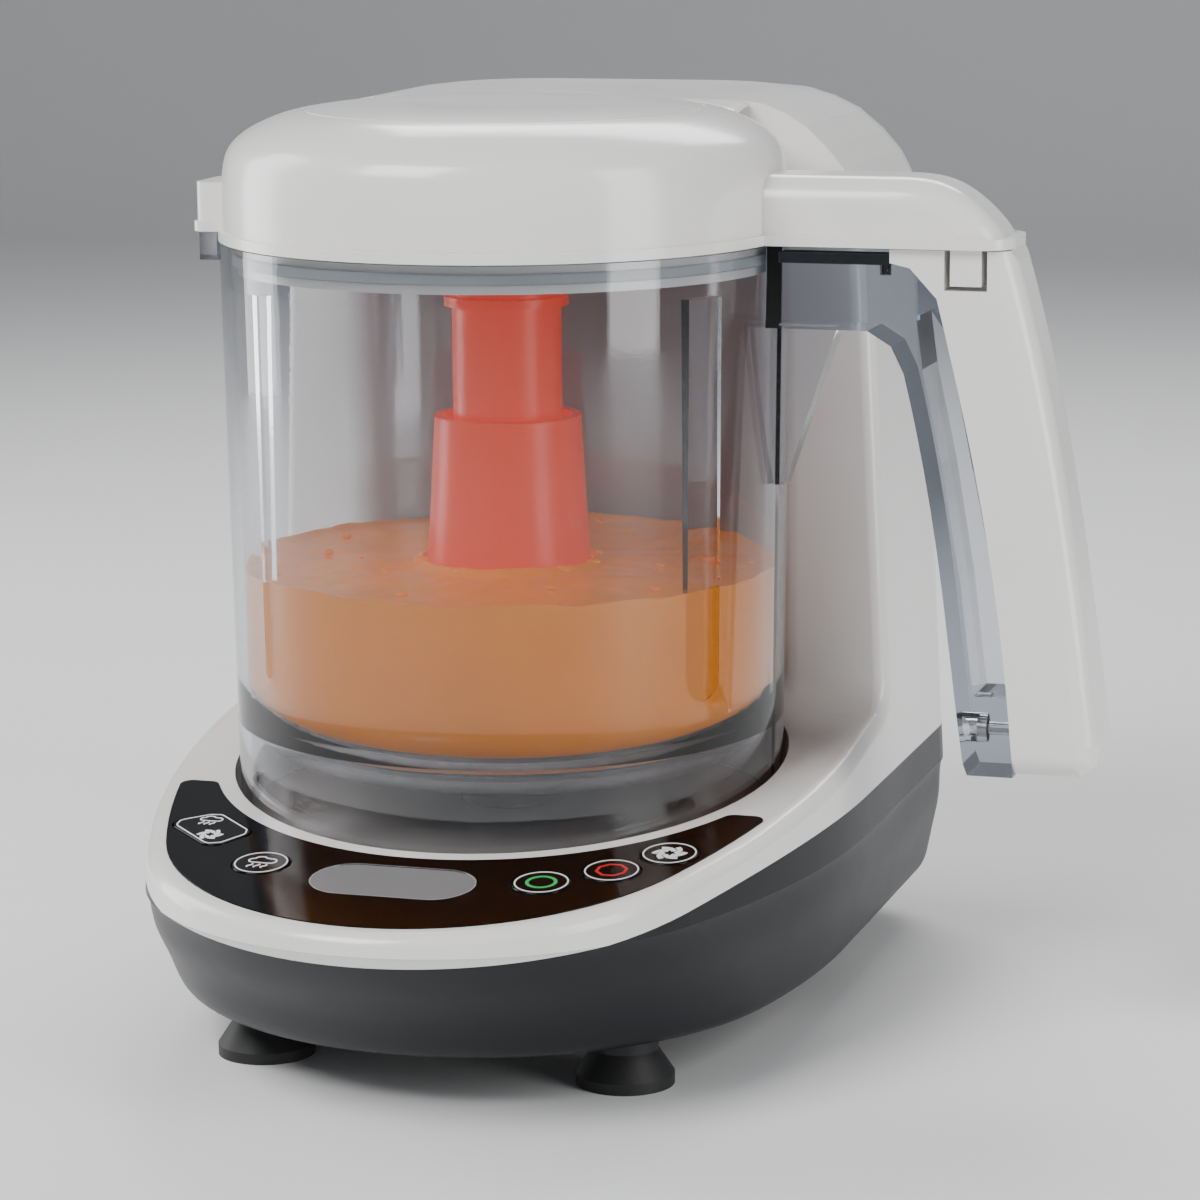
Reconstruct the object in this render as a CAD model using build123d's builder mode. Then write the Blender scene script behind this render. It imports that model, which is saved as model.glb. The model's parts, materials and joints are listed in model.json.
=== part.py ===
from build123d import *
import math
import os

# Baby food maker: a steaming and blending jug on a base with a tower behind it.
# Everything is drawn about the jug's vertical axis, on the table top, with the front at -Y,
# the jug's handle at +X and the tower at +Y. Lengths are millimetres.

# ---- driving dimensions --------------------------------------------------------------------
WALL = 2.5  # moulded housing walls
GAP = 0.3  # clearance between bodies that move apart

# Base outline: a nose arc, two flank arcs, straight sides and rounded rear corners
FRONT_Y = -112.4
REAR_Y = 126.0
HALF_WIDTH = 80.5
FLANK_R = 240.0
FLANK_Y = 20.0
CORNER_R = 30.0

# Heights above the table
SHELL_BOTTOM = 12.5
HULL_JOIN = 42.0  # where the rounded bottom meets the drafted sides
SEAM_REAR = 51.0  # joint between the lower and upper housings, behind the jug
SEAM_FRONT = 38.5  # the same joint at the nose
DECK_MID = 61.0  # sloping deck, at the jug's axis
DECK_SLOPE = 0.13
TOWER_TOP = 181.2
TOWER_INSET = 6.5  # draft of the tower's outline from the seam to its top

# Jug
JUG_RIM_R = 65.0
JUG_FOOT_R = 62.95
JUG_WALL = 2.6
JUG_FOOT = 50.4
JUG_FLOOR = 62.0
JUG_FLOOR_TOP = 64.6
JUG_RIM = 181.4
RECESS_R = 64.4
RECESS_FLOOR = 50.0
BAY_R = 68.5
BAY_Y = 44.0

# Lid
LID_BOTTOM = 181.7
LID_SEAM = 184.0
LID_BASE = 183.0  # where the lid's inner shapes start, under its cover
LID_TOP = 211.5
LID_WALL = 2.4
HOOD_FRONT = 41.0
ARM_HALF = 11.5  # half-width of the lid's arm over the handle

# Drive train
MOTOR_Y = 98.0
MOTOR_R = 20.5
SHAFT_R = 4.0
PULLEY_BIG_R = 30.0
PULLEY_SMALL_R = 10.0
BELT_LOW = 29.0
BELT_HIGH = 37.0
BELT_THICK = 1.6
NOZZLE_R = 4.0
PIN_R = 0.8
SEAL_R = 7.0

# Control panel
PANEL_INSET = 4.8
PANEL_INNER_R = 68.4
PANEL_THICK = 1.6
PANEL_END_Y = -31.0
BUTTON_R = 6.4
BUTTONS = {
    "steam_button": (-112.5, 84.0),
    "start_button": (-67.5, 84.0),
    "stop_button": (-56.6, 81.8),
    "blend_button": (-46.0, 78.6),
}
COMBI_BUTTON = (-130.2, 78.4)
STEM_R = 2.4
DISPLAY_Y = -83.0
DISPLAY_LENGTH = 37.0
DISPLAY_WIDTH = 17.0

# The finished part's origin: the centre of its footprint on the table
ORIGIN_X = 29.4
ORIGIN_Y = 6.8

DECK_TILT = math.degrees(math.atan(DECK_SLOPE))
DECK = Plane(origin=(0, 0, DECK_MID), x_dir=(1, 0, 0), z_dir=(0, -DECK_SLOPE, 1))

os.makedirs("parts", exist_ok=True)


def write(piece, name):
    """Label a finished piece, move it to the part's origin and save it."""
    placed = piece.part.moved(Location((-ORIGIN_X, -ORIGIN_Y, 0)))
    placed.label = name
    export_step(placed, f"parts/{name}.step")


# ---- shared shapes -------------------------------------------------------------------------


def footprint(inset, height, rake=0.0):
    """The base's outline at a height, drawn in all round, with the nose drawn back by rake."""
    tip = -(FRONT_Y + rake)
    side = FLANK_R - HALF_WIDTH
    rest = FLANK_R - tip
    nose_y = (side**2 + FLANK_Y**2 - rest**2) / (2 * FLANK_Y - 2 * rest)
    nose_r = nose_y + tip
    turn = math.degrees(math.atan2(nose_y - FLANK_Y, side))
    half = HALF_WIDTH - inset
    corner_y = REAR_Y - CORNER_R
    with BuildSketch(Plane.XY.offset(height)) as outline:
        with BuildLine():
            CenterArc((0, nose_y), nose_r - inset, -90, 90 + turn)
            CenterArc((-side, FLANK_Y), FLANK_R - inset, turn, -turn)
            Line((half, FLANK_Y), (half, corner_y))
            CenterArc((HALF_WIDTH - CORNER_R, corner_y), CORNER_R - inset, 0, 90)
            Line((HALF_WIDTH - CORNER_R, REAR_Y - inset), (0, REAR_Y - inset))
            mirror(about=Plane.YZ)
        make_face()
    return outline.sketch


# Lower housing sections: height, inset and how far the nose is drawn back
TUB_SECTIONS = [
    (SHELL_BOTTOM, 8.0, 20.0),
    (SHELL_BOTTOM + 2.0, 5.2, 19.5),
    (SHELL_BOTTOM + 6.5, 3.6, 17.5),
    (SHELL_BOTTOM + 13.5, 2.2, 13.0),
    (SHELL_BOTTOM + 21.5, 0.9, 6.5),
    (HULL_JOIN, 0.0, 0.0),
]


def tub(wall):
    """The rounded bottom of the hull, with its faces moved in by wall."""
    sections = []
    for height, inset, rake in TUB_SECTIONS:
        lift = wall * (HULL_JOIN - height) / (HULL_JOIN - SHELL_BOTTOM)
        sections.append(footprint(inset + wall, height + lift, rake).face())
    with BuildPart() as shape:
        loft(sections)
    return shape.part


def tower(wall):
    """The drafted hull above its rounded bottom, with its faces moved in by wall."""
    low = footprint(wall, HULL_JOIN)
    high = footprint(TOWER_INSET + wall, TOWER_TOP - wall)
    with BuildPart() as shape:
        loft([low.face(), high.face()], ruled=True)
    return shape.part


def above_seam():
    """Everything above the joint between the two housings."""
    with BuildPart() as shape:
        with BuildSketch(Plane.YZ.offset(-120)):
            with BuildLine():
                Spline(
                    (-130, SEAM_FRONT - 3.4),
                    (-110, SEAM_FRONT),
                    (-60, SEAM_FRONT + 8.0),
                    (-10, SEAM_REAR - 0.6),
                    (40, SEAM_REAR - 0.1),
                    tangents=((20, 3.6), (1, 0)),
                )
                Polyline(
                    (40, SEAM_REAR - 0.1),
                    (150, SEAM_REAR - 0.1),
                    (150, 230),
                    (-130, 230),
                    (-130, SEAM_FRONT - 3.4),
                )
            make_face()
        extrude(amount=240)
    return shape.part


def bay(wall):
    """The space over the deck and in front of the tower's hollow face, grown by wall."""
    with BuildPart() as shape:
        with BuildSketch(Plane.XY.offset(20)) as plan:
            with Locations((0, (BAY_Y + wall - 200) / 2)):
                Rectangle(260, BAY_Y + wall + 200)
            Circle(BAY_R + wall)
            inner = plan.vertices().filter_by_position(Axis.X, -70, 70)
            fillet(inner, 10)
        extrude(amount=200)
        split(bisect_by=DECK.offset(-wall), keep=Keep.TOP)
        foot = shape.faces().sort_by(Axis.Z)[0].edges()
        back = foot.filter_by_position(Axis.Y, BAY_Y - 5, 100)
        fillet(back, 7)
    return shape.part


def panel_outline(gap):
    """The control panel's crescent, drawn in by gap, as a level sketch."""
    with BuildSketch(Plane.XY.offset(20)) as outline:
        add(footprint(PANEL_INSET + gap, 20))
        Circle(PANEL_INNER_R + gap, mode=Mode.SUBTRACT)
        with Locations((0, PANEL_END_Y - gap + 100)):
            Rectangle(240, 200, mode=Mode.SUBTRACT)
        ends = outline.vertices().group_by(Axis.Y)[-1]
        fillet(ends, max(2.6 - gap, 0.6))
    return outline.sketch


def on_deck(angle, radius):
    """A point on the deck, as the deck plane's own coordinates."""
    x = radius * math.cos(math.radians(angle))
    y = radius * math.sin(math.radians(angle))
    return (x, y / math.cos(math.radians(DECK_TILT)))


def slab(low, high, sketch):
    """A level sketch raised to fill the space between two heights over the deck."""
    with BuildPart() as shape:
        extrude(sketch, amount=150)
        split(bisect_by=DECK.offset(high), keep=Keep.BOTTOM)
        split(bisect_by=DECK.offset(low), keep=Keep.TOP)
    return shape.part


def combi_outline(grow=0.0):
    """The steam-and-blend button, in the deck plane's own coordinates."""
    angle, radius = COMBI_BUTTON
    spot = on_deck(angle, radius)
    with BuildSketch() as outline:
        with Locations(Location(spot, angle + 90)):
            Trapezoid(21 + 2 * grow, 12.4 + 2 * grow, 80)
        fillet(outline.vertices(), 3.5)
    return outline.sketch


# ---- base housings -------------------------------------------------------------------------

FEET = {
    "front_right": (42.5, -51.0),
    "front_left": (-42.5, -51.0),
    "rear_right": (48.0, 92.0),
    "rear_left": (-48.0, 92.0),
}
SHELL_SCREWS = [(25.0, -71.0), (-25.0, -71.0), (62.0, 60.0), (-62.0, 60.0)]
BRACKET_LEGS = [(29.0, 78.0), (-29.0, 78.0), (29.0, 112.0), (-29.0, 112.0)]
GLAND = (44.0, 34.0)  # X and height of the power cord's entry
TUB_FLOOR = SHELL_BOTTOM + WALL
GLAND_SEAT = 123.6
CORD_R = 3.6
PLUG_BOTTOM = 175.0
HUB_TOP = 140.6
HUB_RIM_R = 16.85
TUBE_END = 128.0
TUBE_R = 12.55
TUBE_BORE = 10.4
BLADES = [(68.5, 35), (84.0, 125)]  # height and turn of each pair of blades
BLADE_THICK = 2.0
BEARING_R = 6.0
POST_TOP = TUB_FLOOR + 6.0
PAN_LOW = -4.1  # underside of the panel's pocket, under the deck
STEM_LOW = -4.7
MAT_TOP = -6.2
BOARD_TOP = -6.8

# Water filler in the tower's leaning rear wall
NOZZLE_Y = 88.0
FILL_X = -41.0
FILL_HALF = 17.0
FILL_TALL = 23.6
HINGE_Z = 142.1
BARREL_R = 1.9
LEAN = TOWER_INSET / (TOWER_TOP - HULL_JOIN)
FILL_Y = REAR_Y - LEAN * (HINGE_Z - HULL_JOIN)
REAR = Plane(origin=(FILL_X, FILL_Y, HINGE_Z), x_dir=(-1, 0, 0), z_dir=(0, 1, LEAN))
HINGE_Y = FILL_Y - WALL / 2


def rod(x, y, low, high, radius):
    """A vertical cylinder between two heights, added to the piece being built."""
    with Locations((x, y, low)):
        return Cylinder(
            radius,
            high - low,
            align=(Align.CENTER, Align.CENTER, Align.MIN),
            mode=Mode.PRIVATE,
        )


with BuildPart() as lower_shell:
    add(tub(0))
    add(tower(0))
    add(tub(WALL), mode=Mode.SUBTRACT)
    add(tower(WALL), mode=Mode.SUBTRACT)
    add(above_seam(), mode=Mode.SUBTRACT)
    # posts for the screws that join the housings, bracket legs and the lower bearing seat
    with BuildSketch(Plane.XY.offset(TUB_FLOOR - 0.5)):
        with Locations(SHELL_SCREWS):
            Circle(4.4)
        with Locations(BRACKET_LEGS):
            Circle(4.0)
        Circle(9.0)
    extrude(amount=POST_TOP - TUB_FLOOR + 0.5)
    with BuildSketch(Plane.XY.offset(TUB_FLOOR)):
        Circle(BEARING_R)
    extrude(amount=10, mode=Mode.SUBTRACT)
    # holes for the feet's plugs and the screws, and the heads' counterbores
    with BuildSketch(Plane.XY.offset(SHELL_BOTTOM - 2)):
        with Locations(*FEET.values()):
            Circle(3.0)
        with Locations(SHELL_SCREWS):
            Circle(1.7)
    extrude(amount=20, mode=Mode.SUBTRACT)
    with BuildSketch(Plane.XY.offset(SHELL_BOTTOM - 2)):
        with Locations(SHELL_SCREWS):
            Circle(3.5)
    extrude(amount=5, mode=Mode.SUBTRACT)
    # cooling slots under the motor
    with BuildSketch(Plane.XY.offset(SHELL_BOTTOM - 2)):
        with Locations((0, MOTOR_Y)):
            with GridLocations(7.0, 0, 5, 1):
                SlotOverall(22, 2.6, rotation=90)
    extrude(amount=8, mode=Mode.SUBTRACT)
    # the power cord's entry, with a seat for the gland's collar
    with BuildSketch(Plane.XZ.offset(-100)):
        with Locations(GLAND):
            Circle(6.0)
    extrude(amount=-40, mode=Mode.SUBTRACT)
    with BuildSketch(Plane.XZ.offset(-GLAND_SEAT)):
        with Locations(GLAND):
            Circle(8.0)
    extrude(amount=-40, mode=Mode.SUBTRACT)
write(lower_shell, "lower_shell")

with BuildPart() as shell_core:
    add(tub(WALL))
    add(tower(WALL))
    add(bay(WALL), mode=Mode.SUBTRACT)

with BuildPart() as upper_shell:
    add(tub(0))
    add(tower(0))
    add(bay(0), mode=Mode.SUBTRACT)
    cut = upper_shell.edges(Select.LAST)
    rim = cut.filter_by(lambda e: abs(e.center().X) > 72 or e.center().Y < -60)
    fillet(rim, 3.5)
    add(above_seam(), mode=Mode.INTERSECT)
    add(shell_core.part, mode=Mode.SUBTRACT)
    # the jug's level socket in the sloping deck, with a boss for the upper bearing
    with BuildSketch(Plane.XY.offset(RECESS_FLOOR - WALL)):
        Circle(RECESS_R + WALL)
    extrude(amount=40)
    with BuildSketch(Plane.XY.offset(RECESS_FLOOR - 9)):
        Circle(9.0)
    extrude(amount=9)
    # a thicker floor under the control panel
    add(slab(PAN_LOW, -0.5, panel_outline(-2.8)))
    # posts for the housing screws, the rear pair tied to the side walls
    with BuildSketch(Plane.XY.offset(POST_TOP)):
        with Locations(SHELL_SCREWS[:2]):
            Circle(4.2)
    extrude(amount=48.5 - POST_TOP)
    with BuildSketch(Plane.XY.offset(POST_TOP)):
        with Locations(SHELL_SCREWS[2:]):
            Circle(4.2)
    extrude(amount=50)
    for side in (1, -1):
        with BuildSketch(Plane.XY.offset(54)):
            with Locations((side * 71.5, SHELL_SCREWS[2][1])):
                Rectangle(14, 2.4)
        extrude(amount=14)
    add(bay(0), mode=Mode.SUBTRACT)
    with BuildSketch(Plane.XY.offset(RECESS_FLOOR)):
        Circle(RECESS_R)
    extrude(amount=60, mode=Mode.SUBTRACT)
    with BuildSketch(Plane.XY.offset(RECESS_FLOOR - 12)):
        Circle(BEARING_R)
    extrude(amount=20, mode=Mode.SUBTRACT)
    with BuildSketch(Plane.XY.offset(POST_TOP - 1)):
        with Locations(SHELL_SCREWS):
            Circle(1.5)
    extrude(amount=14, mode=Mode.SUBTRACT)
    # the panel's pocket, and what passes through its floor
    add(slab(-PANEL_THICK, 6, panel_outline(0)), mode=Mode.SUBTRACT)
    with BuildSketch(DECK):
        for angle, radius in [*BUTTONS.values(), COMBI_BUTTON]:
            with Locations(on_deck(angle, radius)):
                Circle(STEM_R + GAP)
        with Locations((0, DISPLAY_Y)):
            Rectangle(DISPLAY_LENGTH - 6, DISPLAY_WIDTH - 4)
    extrude(amount=-6, mode=Mode.SUBTRACT)
    # the steam nozzle's hole and its seal's seat
    with BuildSketch(Plane.XY.offset(TOWER_TOP - 5)):
        with Locations((0, NOZZLE_Y)):
            Circle(NOZZLE_R)
    extrude(amount=10, mode=Mode.SUBTRACT)
    with BuildSketch(Plane.XY.offset(TOWER_TOP - 1.4)):
        with Locations((0, NOZZLE_Y)):
            Circle(SEAL_R)
    extrude(amount=10, mode=Mode.SUBTRACT)
    # ears behind the rear wall for the filler door's pin, then the opening and the pin's bores
    for side in (1, -1):
        with Locations((FILL_X + side * (FILL_HALF + 1.9), HINGE_Y - 1.2, HINGE_Z)):
            Box(3.8, 4.0, 5.0)
    with BuildSketch(REAR.offset(1)):
        with Locations((0, FILL_TALL / 2 - 2.3 / 2)):
            Rectangle(2 * FILL_HALF, FILL_TALL + 2.3)
    extrude(amount=-12, mode=Mode.SUBTRACT)
    with Locations((FILL_X, HINGE_Y, HINGE_Z)):
        Cylinder(PIN_R, 2 * FILL_HALF + 6, rotation=(0, 90, 0), mode=Mode.SUBTRACT)
write(upper_shell, "upper_shell")

# ---- control panel -------------------------------------------------------------------------

with BuildPart() as control_fascia:
    add(slab(-PANEL_THICK, 0.25, panel_outline(0.1)))
    with BuildSketch(DECK):
        for angle, radius in BUTTONS.values():
            with Locations(on_deck(angle, radius)):
                Circle(BUTTON_R + GAP)
        add(combi_outline(GAP))
        with Locations((0, DISPLAY_Y)):
            SlotOverall(DISPLAY_LENGTH, DISPLAY_WIDTH)
    extrude(amount=4, both=True, mode=Mode.SUBTRACT)
write(control_fascia, "control_fascia")

with BuildPart() as display_window:
    with BuildSketch(DECK.offset(-PANEL_THICK)):
        with Locations((0, DISPLAY_Y)):
            SlotOverall(DISPLAY_LENGTH - 0.2, DISPLAY_WIDTH - 0.2)
    extrude(amount=PANEL_THICK + 0.15)
write(display_window, "display_window")

with BuildPart() as lcd_module:
    with BuildSketch(DECK.offset(BOARD_TOP)):
        with Locations((0, DISPLAY_Y)):
            Rectangle(DISPLAY_LENGTH - 6.6, DISPLAY_WIDTH - 4.6)
    extrude(amount=-BOARD_TOP - PANEL_THICK)
write(lcd_module, "lcd_module")

with BuildPart() as control_board:
    add(slab(BOARD_TOP - 1.6, BOARD_TOP, panel_outline(2.0)))
    for x, y in SHELL_SCREWS[:2]:
        add(rod(x, y, 20, 60, 5.0), mode=Mode.SUBTRACT)
write(control_board, "control_board")

with BuildPart() as keypad_mat:
    add(slab(BOARD_TOP, MAT_TOP, panel_outline(3.0)))
    with BuildSketch(DECK.offset(MAT_TOP)):
        for angle, radius in [*BUTTONS.values(), COMBI_BUTTON]:
            with Locations(on_deck(angle, radius)):
                Circle(3.0)
    extrude(amount=STEM_LOW - 0.7 - MAT_TOP, taper=12)
    for x, y in SHELL_SCREWS[:2]:
        add(rod(x, y, 20, 60, 5.0), mode=Mode.SUBTRACT)
    with BuildSketch(DECK):
        with Locations((0, DISPLAY_Y)):
            Rectangle(DISPLAY_LENGTH - 5, DISPLAY_WIDTH - 3)
    extrude(amount=-12, mode=Mode.SUBTRACT)
write(keypad_mat, "keypad_mat")

for name, (angle, radius) in BUTTONS.items():
    with BuildPart() as button:
        with BuildSketch(DECK.offset(-0.8)):
            with Locations(on_deck(angle, radius)):
                Circle(BUTTON_R)
        extrude(amount=1.3)
        fillet(button.faces().sort_by(Axis.Z)[-1].edges(), 0.4)
        with BuildSketch(DECK.offset(STEM_LOW)):
            with Locations(on_deck(angle, radius)):
                Circle(STEM_R)
        extrude(amount=-STEM_LOW - 0.5)
    write(button, name)

with BuildPart() as steam_blend_button:
    with BuildSketch(DECK.offset(-0.8)):
        add(combi_outline())
    extrude(amount=1.3)
    fillet(steam_blend_button.faces().sort_by(Axis.Z)[-1].edges(), 0.4)
    with BuildSketch(DECK.offset(STEM_LOW)):
        with Locations(on_deck(*COMBI_BUTTON)):
            Circle(STEM_R)
    extrude(amount=-STEM_LOW - 0.5)
write(steam_blend_button, "steam_blend_button")

# ---- inside the base -----------------------------------------------------------------------

for place, (x, y) in FEET.items():
    with BuildPart() as foot:
        with BuildSketch(Plane.XZ):
            with BuildLine():
                Polyline(
                    (9.0, 0),
                    (11.0, 0),
                    (11.0, 2.5),
                    (7.4, 8.0),
                    (7.4, SHELL_BOTTOM),
                    (3.0, SHELL_BOTTOM),
                    (3.0, TUB_FLOOR),
                    (4.5, TUB_FLOOR),
                    (3.2, TUB_FLOOR + 1.6),
                    (0, TUB_FLOOR + 1.6),
                    (0, 5.5),
                    (4.5, 5.5),
                    (9.0, 0),
                )
            make_face()
        revolve(axis=Axis.Z)
    foot.part.locate(Location((x, y, 0)))
    write(foot, f"foot_{place}")

with BuildPart() as shell_screws:
    for x, y in SHELL_SCREWS:
        add(rod(x, y, SHELL_BOTTOM + 0.8, SHELL_BOTTOM + 3, 3.2))
        add(rod(x, y, SHELL_BOTTOM + 3, POST_TOP + 10, 1.48))
    with Locations([(x, y, SHELL_BOTTOM + 1.2) for x, y in SHELL_SCREWS]):
        Box(4.4, 1.0, 0.9, mode=Mode.SUBTRACT)
        Box(1.0, 4.4, 0.9, mode=Mode.SUBTRACT)
write(shell_screws, "shell_screws")

BRACKET_LOW = 59.0
MOTOR_LOW = 62.0
MOTOR_TALL = 60.0
BOILER_X = 50.0
BOILER_Y = 88.0
BOILER_LOW = 75.0
BOILER_TOP = 135.0
BOILER_R = 20.0
STAND_LEGS = [(42.0, 72.0), (66.0, 84.0), (57.0, 105.0)]
TANK_LOW = 70.0
TANK_TOP = 165.0
TANK_LEGS = [(-65.0, 76.0), (-62.0, 104.0), (-38.0, 104.0)]
PUMP_LOW = 44.0

with BuildPart() as motor_can:
    add(rod(0, MOTOR_Y, MOTOR_LOW, MOTOR_LOW + MOTOR_TALL, MOTOR_R))
    ends = motor_can.faces().filter_by(GeomType.PLANE).edges()
    fillet(ends, 2.0)
    add(rod(0, MOTOR_Y, MOTOR_LOW - 2.5, MOTOR_LOW, 7.9))
    with Locations((0, MOTOR_Y, MOTOR_LOW + MOTOR_TALL - 6)):
        with PolarLocations(MOTOR_R, 6):
            Box(5, 3, 6, mode=Mode.SUBTRACT)
    add(rod(0, MOTOR_Y, MOTOR_LOW - 10, MOTOR_LOW + 80, 3.05), mode=Mode.SUBTRACT)
write(motor_can, "motor_can")

with BuildPart() as motor_bracket:
    with BuildSketch(Plane.XY.offset(BRACKET_LOW)):
        with Locations((0, 95)):
            RectangleRounded(70, 44, 5)
        with Locations((0, MOTOR_Y)):
            Circle(8.0, mode=Mode.SUBTRACT)
    extrude(amount=MOTOR_LOW - BRACKET_LOW)
    for x, y in BRACKET_LEGS:
        add(rod(x, y, POST_TOP, BRACKET_LOW, 3.6))
write(motor_bracket, "motor_bracket")

with BuildPart() as spindle_bearings:
    for low, high in [(TUB_FLOOR, POST_TOP), (RECESS_FLOOR - 8.5, RECESS_FLOOR)]:
        with BuildSketch(Plane.XY.offset(low)):
            Circle(BEARING_R)
            Circle(SHAFT_R + 0.05, mode=Mode.SUBTRACT)
        extrude(amount=high - low)
write(spindle_bearings, "spindle_bearings")


def belt_loop(grow):
    """The outline around both pulleys, standing off their rims by grow."""
    with BuildSketch(Plane.XY.offset(BELT_LOW)) as loop:
        Circle(PULLEY_BIG_R + grow)
        with Locations((0, MOTOR_Y)):
            Circle(PULLEY_SMALL_R + grow)
        make_hull()
    return loop.sketch


with BuildPart() as drive_belt:
    with BuildSketch(Plane.XY.offset(BELT_LOW)):
        add(belt_loop(GAP + BELT_THICK))
        add(belt_loop(GAP), mode=Mode.SUBTRACT)
    extrude(amount=BELT_HIGH - BELT_LOW)
write(drive_belt, "drive_belt")


def pulley(x, y, radius, bore):
    """A flanged belt pulley with its shaft's bore."""
    with BuildPart() as wheel:
        add(rod(x, y, BELT_LOW - 1, BELT_HIGH + 1, radius))
        add(rod(x, y, BELT_LOW - 1.5, BELT_LOW - 0.5, radius + 2.6))
        add(rod(x, y, BELT_HIGH + 0.5, BELT_HIGH + 1.5, radius + 2.6))
        add(rod(x, y, 0, 100, bore), mode=Mode.SUBTRACT)
    return wheel


with BuildPart() as driven_pulley:
    add(pulley(0, 0, PULLEY_BIG_R, SHAFT_R).part)
    with Locations((0, 0, 20)):
        with PolarLocations(18, 6):
            Cylinder(5.5, 60, mode=Mode.SUBTRACT)
write(driven_pulley, "driven_pulley")
write(pulley(0, MOTOR_Y, PULLEY_SMALL_R, 3.0), "motor_pulley")

with BuildPart() as motor_shaft:
    add(rod(0, MOTOR_Y, BELT_LOW - 4, MOTOR_LOW + MOTOR_TALL + 11, 3.0))
    chamfer(motor_shaft.edges().group_by(Axis.Z)[-1], 0.4)
write(motor_shaft, "motor_shaft")

with BuildPart() as cooling_fan:
    add(rod(0, MOTOR_Y, MOTOR_LOW + MOTOR_TALL + 2, MOTOR_LOW + MOTOR_TALL + 10, 6.0))
    with Locations((0, MOTOR_Y, MOTOR_LOW + MOTOR_TALL + 6)):
        with PolarLocations(11, 9):
            Box(13, 1.2, 7, rotation=(35, 0, 0))
    add(rod(0, MOTOR_Y, 100, 160, 3.0), mode=Mode.SUBTRACT)
write(cooling_fan, "cooling_fan")

with BuildPart() as drive_spindle:
    add(rod(0, 0, TUB_FLOOR + 0.4, RECESS_FLOOR + 6, SHAFT_R))
    chamfer(drive_spindle.edges().group_by(Axis.Z)[-1], 0.6)
write(drive_spindle, "drive_spindle")

COUPLING_LOW = RECESS_FLOOR + 0.8
COUPLING_TOP = JUG_FLOOR - 0.4

with BuildPart() as drive_coupling:
    add(rod(0, 0, COUPLING_LOW, COUPLING_LOW + 3.2, 12.0))
    with Locations((0, 0, COUPLING_LOW + 5.6)):
        with PolarLocations(8.6, 3):
            Box(5.0, 4.0, 4.8)
    add(rod(0, 0, 40, 70, SHAFT_R), mode=Mode.SUBTRACT)
write(drive_coupling, "drive_coupling")

with BuildPart() as driven_coupling:
    add(rod(0, 0, COUPLING_TOP - 2.2, COUPLING_TOP, 11.5))
    with Locations((0, 0, COUPLING_TOP - 4.2)):
        with PolarLocations(8.4, 3, start_angle=60):
            Box(5.0, 4.0, 4.0)
    add(rod(0, 0, 40, 70, SHAFT_R), mode=Mode.SUBTRACT)
write(driven_coupling, "driven_coupling")

with BuildPart() as water_tank:
    with BuildSketch(Plane.XY.offset(TANK_LOW)):
        add(footprint(9.8, TANK_LOW))
        with Locations((-49, 92)):
            Rectangle(44, 48, mode=Mode.INTERSECT)
    extrude(amount=TANK_TOP - TANK_LOW)
    fillet(water_tank.edges().group_by(Axis.Z)[0], 3.0)
    offset(amount=-2.0, openings=water_tank.faces().sort_by(Axis.Z)[-1])
    with Locations((FILL_X, REAR_Y - 10, HINGE_Z + 10)):
        Box(26, 8, 17, mode=Mode.SUBTRACT)
    for x, y in TANK_LEGS:
        add(rod(x, y, TUB_FLOOR, TANK_LOW + 1.9, 3.0))
    # the hole in the tank's floor over the pump's inlet
    add(rod(-50, BOILER_Y, TANK_LOW - 2, TANK_LOW + 2.2, 2.4), mode=Mode.SUBTRACT)
write(water_tank, "water_tank")

with BuildPart() as water_pump:
    with Locations((-50, BOILER_Y, (PUMP_LOW + TANK_LOW) / 2 - 1.5)):
        Box(22, 20, TANK_LOW - PUMP_LOW - 3)
    fillet(water_pump.edges().filter_by(Axis.Z), 3)
    add(rod(-50, BOILER_Y, TANK_LOW - 4, TANK_LOW, 4.4))
    with Locations((-38, BOILER_Y, 52)):
        Cylinder(1.75, 8, rotation=(0, 90, 0))
write(water_pump, "water_pump")


def hose(points, bend, radius, bore):
    """A round tube swept along a path with rounded corners."""
    with BuildPart() as tube:
        with BuildLine() as path:
            FilletPolyline(*points, radius=bend)
        start = Plane(origin=path.line @ 0, z_dir=path.line % 0)
        with BuildSketch(start):
            Circle(radius)
            Circle(bore, mode=Mode.SUBTRACT)
        sweep(path=path.line)
    return tube


WATER_PATH = [(-38.8, BOILER_Y, 52), (BOILER_X, BOILER_Y, 52), (BOILER_X, BOILER_Y, BOILER_LOW)]
STEAM_PATH = [
    (BOILER_X, BOILER_Y, BOILER_TOP),
    (BOILER_X, BOILER_Y, 152),
    (0, BOILER_Y, 152),
    (0, BOILER_Y, 168),
]
write(hose(WATER_PATH, 10, 3.0, 1.8), "water_hose")
write(hose(STEAM_PATH, 11, 4.0, 2.5), "steam_hose")

with BuildPart() as boiler:
    add(rod(BOILER_X, BOILER_Y, BOILER_LOW, BOILER_TOP, BOILER_R))
    fillet(boiler.faces().sort_by(Axis.Z)[-1].edges(), 6)
    offset(amount=-1.5, openings=boiler.faces().sort_by(Axis.Z)[0])
    add(rod(BOILER_X, BOILER_Y, BOILER_TOP - 8, BOILER_TOP + 8, 2.5), mode=Mode.SUBTRACT)
write(boiler, "boiler")

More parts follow.
